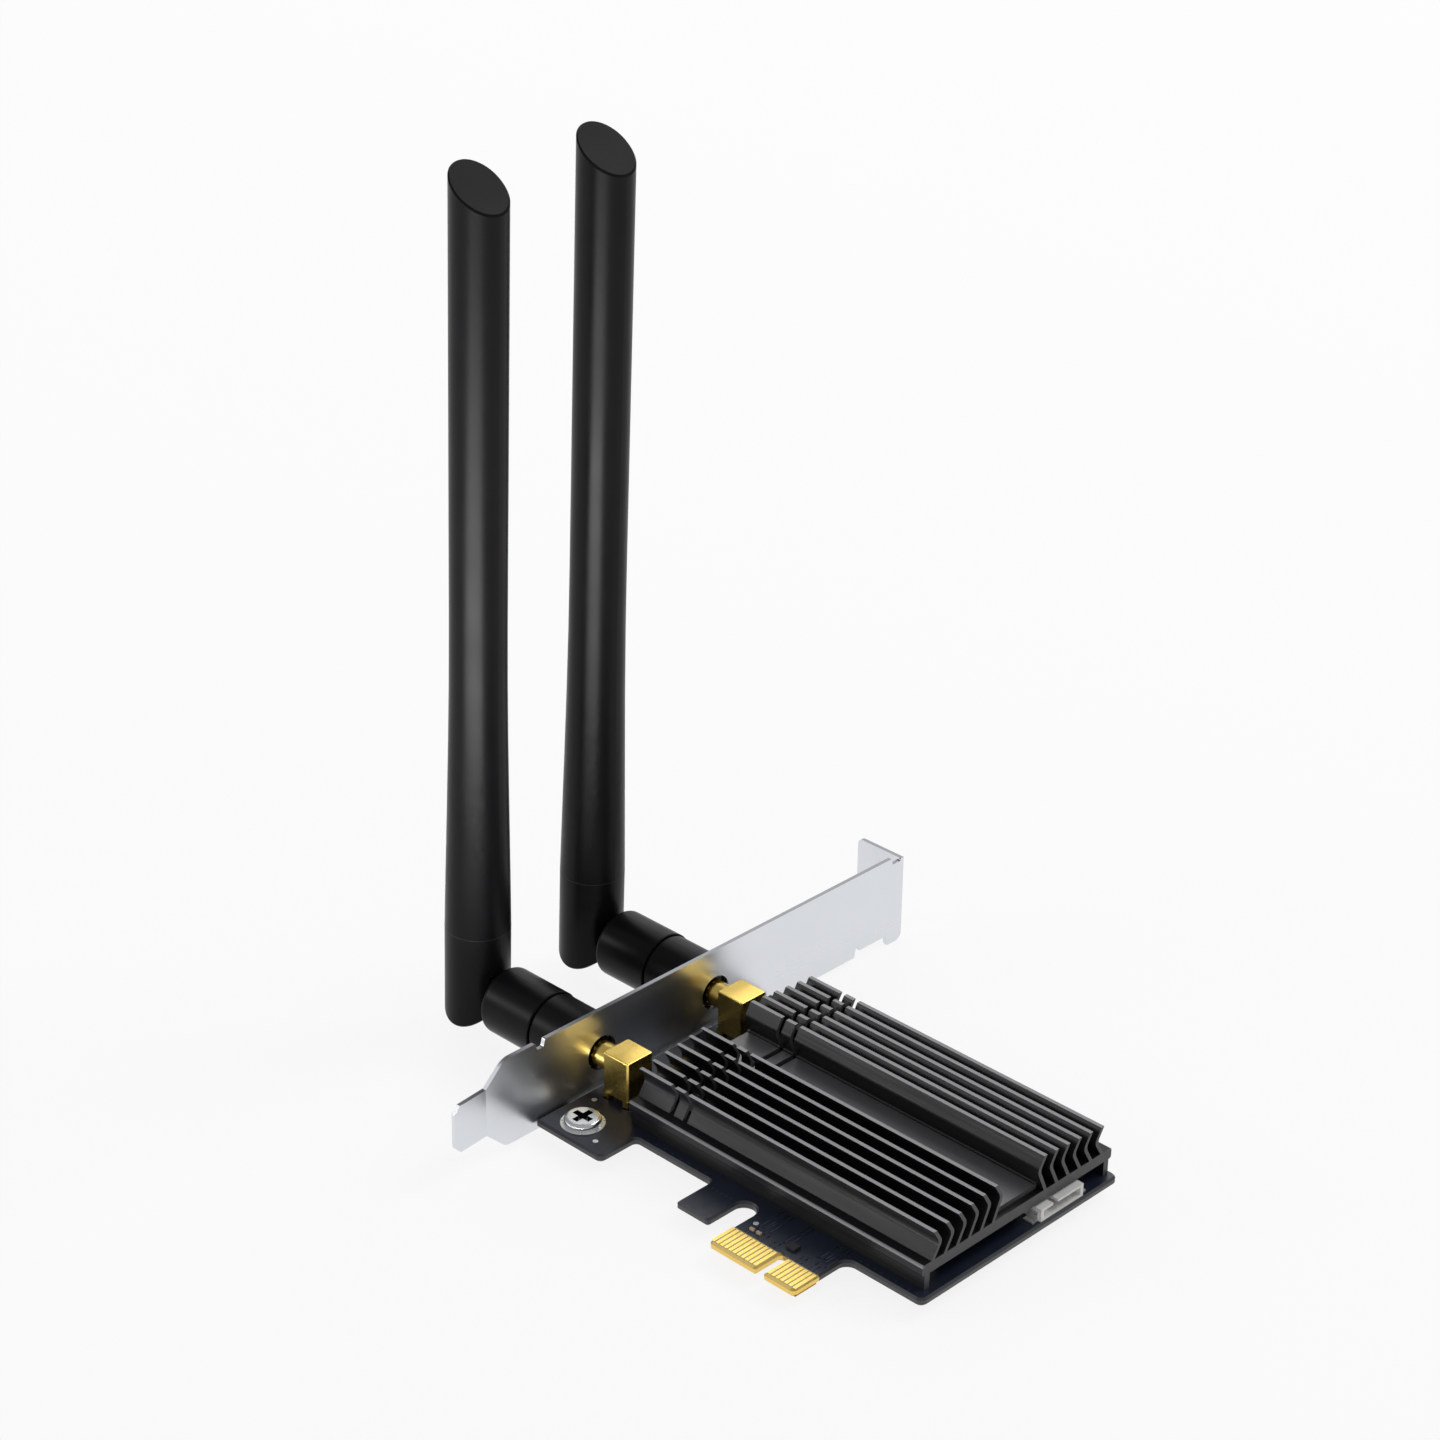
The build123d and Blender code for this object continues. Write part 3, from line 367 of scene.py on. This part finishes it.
FINISHES = {
    "board": masked_board(),
    "gold": plated_gold(),
    "bracket": folded_nickel(),
    "screw": driven_screw(),
    "heatsink": anodised_fins(),
    "antenna": moulded("antenna_black", (0.0045, 0.0045, 0.005), 0.34, 0.10),
    "grip": moulded("grip_black", (0.0045, 0.0045, 0.005), 0.36, 0.11, 0.25),
    "white_insulator": moulded("white_insulator", (0.84, 0.84, 0.82), 0.5, 0.4),
    "steel": polished("plain_steel", (0.55, 0.55, 0.55), 0.32, 3.0),
    "tin": polished("tinned", (0.80, 0.80, 0.78), 0.30, 1.5, 0.6),
    "pad": moulded("silicone_pad", (0.30, 0.36, 0.46), 0.7, 0.3, 0.4),
    "chip": moulded("moulding_compound", (0.02, 0.02, 0.022), 0.55, 0.4, 0.1),
    "ceramic_part": fired_ceramic(),
    "inductor": moulded("pressed_ferrite", (0.07, 0.07, 0.075), 0.6, 0.4, 0.2),
    "header_housing": moulded("header_white", (0.80, 0.79, 0.76), 0.40, 0.5),
    "module_board": moulded("module_mask", (0.012, 0.06, 0.035), 0.4, 0.5, 0.8),
    "element_board": moulded("bare_laminate", (0.30, 0.27, 0.12), 0.55, 0.4, 0.4),
    "coax": moulded("coax_jacket", (0.012, 0.012, 0.012), 0.5, 0.4),
}
FINISHES["trace"] = moulded("covered_copper", (0.020, 0.027, 0.05), 0.32, 0.5, 0.8)
FINISHES["seam"] = moulded("seam_flash", (0.02, 0.02, 0.021), 0.6, 0.3)


def paint(obj, finish):
    """Give a piece one finish."""
    obj.data.materials.clear()
    obj.data.materials.append(FINISHES[finish])


def piece(name, mesh, finish, body):
    """Make a mesh a named piece of the object that rides on a body."""
    obj = bpy.data.objects.new(name, mesh)
    SCENE.collection.objects.link(obj)
    paint(obj, finish)
    for face in mesh.polygons:
        face.use_smooth = True
    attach(obj, body)


def closed_mesh(name, shape):
    """Plain mesh from an edited shape, with its faces turned outwards."""
    bmesh.ops.recalc_face_normals(shape, faces=shape.faces)
    mesh = bpy.data.meshes.new(name)
    shape.to_mesh(mesh)
    shape.free()
    return mesh


def turned_mesh(name, profile, steps=20):
    """Solid of revolution about Z of (radius, height) points, closed at both ends."""
    shape = bmesh.new()
    rings = []
    for radius, height in profile:
        ring = []
        for i in range(steps):
            turn = math.tau * i / steps
            ring.append(shape.verts.new((radius * math.cos(turn), radius * math.sin(turn), height)))
        rings.append(ring)
    for low, high in zip(rings, rings[1:]):
        for i in range(steps):
            j = (i + 1) % steps
            shape.faces.new((low[i], low[j], high[j], high[i]))
    shape.faces.new(rings[0])
    shape.faces.new(rings[-1])
    return closed_mesh(name, shape)


def copies(name, template, places, finish, body):
    """Copies of a small mesh at the given places, set out by Geometry Nodes and kept as one plain mesh."""
    carrier = bpy.data.meshes.new(name + "_places")
    carrier.from_pydata(places, [], [])
    holder = bpy.data.objects.new(name + "_holder", carrier)
    SCENE.collection.objects.link(holder)
    pattern = bpy.data.objects.new(name + "_pattern", template)
    SCENE.collection.objects.link(pattern)

    tree = bpy.data.node_groups.new(name + "_copies", "GeometryNodeTree")
    tree.interface.new_socket("Places", in_out="INPUT", socket_type="NodeSocketGeometry")
    tree.interface.new_socket("Pattern", in_out="INPUT", socket_type="NodeSocketObject")
    tree.interface.new_socket("Copies", in_out="OUTPUT", socket_type="NodeSocketGeometry")
    start = tree.nodes.new("NodeGroupInput")
    source = tree.nodes.new("GeometryNodeObjectInfo")
    spread = tree.nodes.new("GeometryNodeInstanceOnPoints")
    solid = tree.nodes.new("GeometryNodeRealizeInstances")
    coat = tree.nodes.new("GeometryNodeSetMaterial")
    coat.inputs["Material"].default_value = FINISHES[finish]
    end = tree.nodes.new("NodeGroupOutput")
    tree.links.new(start.outputs["Pattern"], source.inputs["Object"])
    tree.links.new(start.outputs["Places"], spread.inputs["Points"])
    tree.links.new(source.outputs["Geometry"], spread.inputs["Instance"])
    tree.links.new(spread.outputs[0], solid.inputs[0])
    tree.links.new(solid.outputs[0], coat.inputs["Geometry"])
    tree.links.new(coat.outputs[0], end.inputs[0])

    layer = holder.modifiers.new("copies", "NODES")
    layer.node_group = tree
    for item in tree.interface.items_tree:
        if item.name == "Pattern":
            layer[item.identifier] = pattern
    bpy.context.view_layer.update()
    depsgraph = bpy.context.evaluated_depsgraph_get()
    mesh = bpy.data.meshes.new_from_object(holder.evaluated_get(depsgraph))
    bpy.data.objects.remove(holder)
    bpy.data.objects.remove(pattern)
    mesh.name = name
    piece(name, mesh, finish, body)


def paint_cad_nodes():
    """Every CAD node in the finish of its material slot."""
    for sub in frame["record"]["subparts"]:
        paint(NODES[sub["node"]], sub["material_slot"])


def jack_solder():
    """Solder cones round the legs of the jacks, under the board."""
    under = BOARD_LOW[2]
    low_r, high_r = (d / 2 * MM for d in SOLDER_D)
    profile = [(low_r, 0), (low_r * 0.8, -SOLDER_H * 0.35 * MM), (high_r, -SOLDER_H * MM)]
    template = turned_mesh("solder_cone", profile, 14)
    places = []
    for side in SIDES:
        low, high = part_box(side + "_jack_body")
        mid_y = (low[1] + high[1]) / 2
        end_x = high[0]
        width = high[1] - low[1]
        reach = (width - JACK_LEG * MM) / 2
        for i in (-1, 1):
            for j in (-1, 1):
                places.append((end_x - width / 2 + i * reach, mid_y + j * reach, under))
    copies("jack_solder", template, places, "tin", "card")


def ring_mesh(name, diameter):
    """Thin plated ring with a dished middle."""
    r = diameter / 2 * MM
    profile = [(r, 0), (r, VIA_T * 0.6 * MM), (r * 0.75, VIA_T * MM), (r * 0.5, VIA_T * 0.4 * MM)]
    return turned_mesh(name, profile, 16)


def board_vias():
    """Rows of covered vias on the open strips of the board, and a few bare test pads."""
    top = BOARD_HIGH[2]
    covered = []
    for x, y, count, step in VIA_ROWS:
        covered += [((x + i * step) * MM, y * MM, top) for i in range(count)]
    copies("covered_vias", ring_mesh("via_ring", VIA_D), covered, "trace", "card")
    bare = [(x * MM, y * MM, top) for x, y in TEST_PADS]
    copies("test_pads", ring_mesh("pad_ring", TEST_PAD_D), bare, "tin", "card")


def strip(shape, points, width, height, z):
    """Flat strip along points on the board, as a closed box for each stretch."""
    for (x0, y0), (x1, y1) in zip(points, points[1:]):
        along = Vector((x1 - x0, y1 - y0, 0)).normalized()
        across = Vector((-along.y, along.x, 0)) * width / 2
        start = Vector((x0, y0, z)) - along * width / 2
        end = Vector((x1, y1, z)) + along * width / 2
        lift = Vector((0, 0, height))
        floor = [shape.verts.new(p) for p in (start - across, end - across, end + across, start + across)]
        roof = [shape.verts.new(v.co + lift) for v in floor]
        shape.faces.new(floor)
        shape.faces.new(roof)
        for i in range(4):
            j = (i + 1) % 4
            shape.faces.new((floor[i], floor[j], roof[j], roof[i]))


def contact_x(index):
    """Middle of one edge contact, counted along the connector past the key notch."""
    low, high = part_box("edge_contacts")
    inset = CONTACT_W / 2 * MM
    if index < CONTACTS[0]:
        return low[0] + inset + index * MM
    return high[0] - inset - (sum(CONTACTS) - 1 - index) * MM


def board_traces():
    """Covered copper pairs from the edge contacts up under the heatsink."""
    shape = bmesh.new()
    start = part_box("edge_contacts")[1][1] + TRACE_GAP * MM
    for first, shift in TRACE_PAIRS:
        for index in (first, first + 1):
            x = contact_x(index)
            rise = start + (TRACE_RISE + TRACE_STAGGER * (index % 4)) * MM
            bent = (x + shift * MM, rise + abs(shift) * MM)
            path = [(x, start), (x, rise), bent, (bent[0], TRACE_END_Y * MM)]
            strip(shape, path, TRACE_W * MM, TRACE_T * MM, BOARD_HIGH[2])
    piece("board_traces", closed_mesh("board_traces", shape), "trace", "card")


def seam_mesh(name, ring_r, place):
    """Thin closed ring of a seam at the top of an antenna's foot."""
    seam_r = SEAM_D / 2 * MM
    shape = bmesh.new()
    rings = []
    for i in range(SEAM_STEPS):
        a = math.tau * i / SEAM_STEPS
        ring = []
        for j in range(SEAM_SIDES):
            b = math.tau * j / SEAM_SIDES
            reach = ring_r - seam_r * SEAM_SINK + seam_r * math.cos(b)
            height = FOOT_TOP * MM + seam_r * math.sin(b)
            ring.append(shape.verts.new(place(Vector((reach * math.cos(a), reach * math.sin(a), height)))))
        rings.append(ring)
    for i, one in enumerate(rings):
        two = rings[(i + 1) % SEAM_STEPS]
        for j in range(SEAM_SIDES):
            k = (j + 1) % SEAM_SIDES
            shape.faces.new((one[j], two[j], two[k], one[k]))
    return closed_mesh(name, shape)


def antenna_seams():
    """Fine dark joint lines where each tube meets its foot."""
    turn = Matrix.Rotation(math.radians(ANTENNA_LEAN), 4, "Y")
    for side in SIDES:
        low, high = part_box(side + "_antenna_foot")
        elbow = next(j for j in frame["joints"] if j["name"] == side + "_elbow")
        centre = Vector(elbow["pos_m"])
        name = side + "_foot_seam"
        mesh = seam_mesh(name, (high[1] - low[1]) / 2, lambda point: centre + turn @ point)
        piece(name, mesh, "seam", side + "_antenna")


def seen_directly(tree):
    """1 for rays that show a surface to the camera, by mirror or through glass too, and 0 for the rest."""
    path = tree.nodes.new("ShaderNodeLightPath")
    total = path.outputs["Is Camera Ray"]
    for kind in ("Is Glossy Ray", "Is Transmission Ray"):
        both = tree.nodes.new("ShaderNodeMath")
        both.operation = "ADD"
        tree.links.new(total, both.inputs[0])
        tree.links.new(path.outputs[kind], both.inputs[1])
        total = both.outputs[0]
    return total


def paper(name, shader, share):
    """Matt pale paper that another shader takes the given share of, where it is seen directly."""
    mat = bpy.data.materials.new(name)
    mat.use_nodes = True
    tree = mat.node_tree
    matt = tree.nodes["Principled BSDF"]
    matt.inputs["Base Color"].default_value = (*FLOOR_COLOUR, 1.0)
    matt.inputs["Roughness"].default_value = 0.9
    matt.inputs["Specular IOR Level"].default_value = 0.1
    part = tree.nodes.new("ShaderNodeMath")
    part.operation = "MULTIPLY"
    part.inputs[1].default_value = share
    blend = tree.nodes.new("ShaderNodeMixShader")
    tree.links.new(seen_directly(tree), part.inputs[0])
    tree.links.new(part.outputs[0], blend.inputs[0])
    tree.links.new(matt.outputs[0], blend.inputs[1])
    tree.links.new(tree.nodes.new(shader).outputs[0], blend.inputs[2])
    tree.links.new(blend.outputs[0], tree.nodes["Material Output"].inputs["Surface"])
    return mat


def level_sheet(name, height, finish):
    """Large level sheet of the studio at a height."""
    half = FLOOR_SIZE / 2
    mesh = bpy.data.meshes.new(name)
    corners = [(-half, -half, height), (half, -half, height), (half, half, height), (-half, half, height)]
    mesh.from_pydata(corners, [], [(0, 1, 2, 3)])
    mesh.materials.append(finish)
    sheet = bpy.data.objects.new(name, mesh)
    SCENE.collection.objects.link(sheet)


def studio():
    """Thin floor that a lowered antenna still shows through, a white sheet below, sky and lamps."""
    bottom = cad_bounds[0][2]
    level_sheet("floor", bottom, paper("pale_paper", "ShaderNodeBsdfTransparent", FLOOR_CLEAR))
    level_sheet("backdrop", bottom - BACKDROP_DROP, paper("white_backdrop", "ShaderNodeEmission", 1.0))

    world = bpy.data.worlds.new("studio_sky")
    world.use_nodes = True
    sky = world.node_tree.nodes["Background"]
    sky.inputs["Color"].default_value = (*SKY_COLOUR, 1.0)
    sky.inputs["Strength"].default_value = WORLD_LEVEL
    SCENE.world = world

    for name, (at, size, power) in SOFTBOXES.items():
        lamp(name, at, size, power)
    panel = lamp("table_panel", (*PANEL_AT, bottom + PANEL_LIFT * MM), PANEL_SIZE, PANEL_POWER)
    flat = Matrix.Rotation(math.radians(CAMERA_TURN), 4, "Z") @ Matrix.Rotation(math.pi, 4, "X")
    panel.matrix_world = Matrix.Translation(panel.matrix_world.translation) @ flat


def lamp(name, at, size, power):
    """Rectangular soft lamp aimed at the middle of the card."""
    light = bpy.data.lights.new(name, "AREA")
    light.shape = "RECTANGLE"
    light.size, light.size_y = size
    light.energy = power
    obj = bpy.data.objects.new(name, light)
    SCENE.collection.objects.link(obj)
    turn = (Vector(LAMP_AIM) - Vector(at)).to_track_quat("-Z", "Y")
    obj.matrix_world = Matrix.Translation(at) @ turn.to_matrix().to_4x4()
    obj.visible_camera = False
    return obj


def camera():
    """Camera at the photograph's angle and distance."""
    turn, rise, roll = (math.radians(a) for a in (CAMERA_TURN, CAMERA_RISE, CAMERA_ROLL))
    back = Vector((math.sin(turn) * math.cos(rise), -math.cos(turn) * math.cos(rise), math.sin(rise)))
    right = Vector((math.cos(turn), math.sin(turn), 0))
    up = back.cross(right)
    tilted_right = right * math.cos(roll) + up * math.sin(roll)
    tilted_up = up * math.cos(roll) - right * math.sin(roll)
    data = bpy.data.cameras.new("camera")
    data.sensor_width = 36.0
    data.lens = LENS
    data.clip_start = 0.01
    obj = bpy.data.objects.new("camera", data)
    SCENE.collection.objects.link(obj)
    rows = Matrix((tilted_right, tilted_up, back)).transposed().to_4x4()
    obj.matrix_world = Matrix.Translation(Vector(CAMERA_AT) * MM) @ rows
    SCENE.camera = obj


paint_cad_nodes()
jack_solder()
board_vias()
board_traces()
antenna_seams()
studio()
camera()
SCENE.view_settings.view_transform = "Standard"
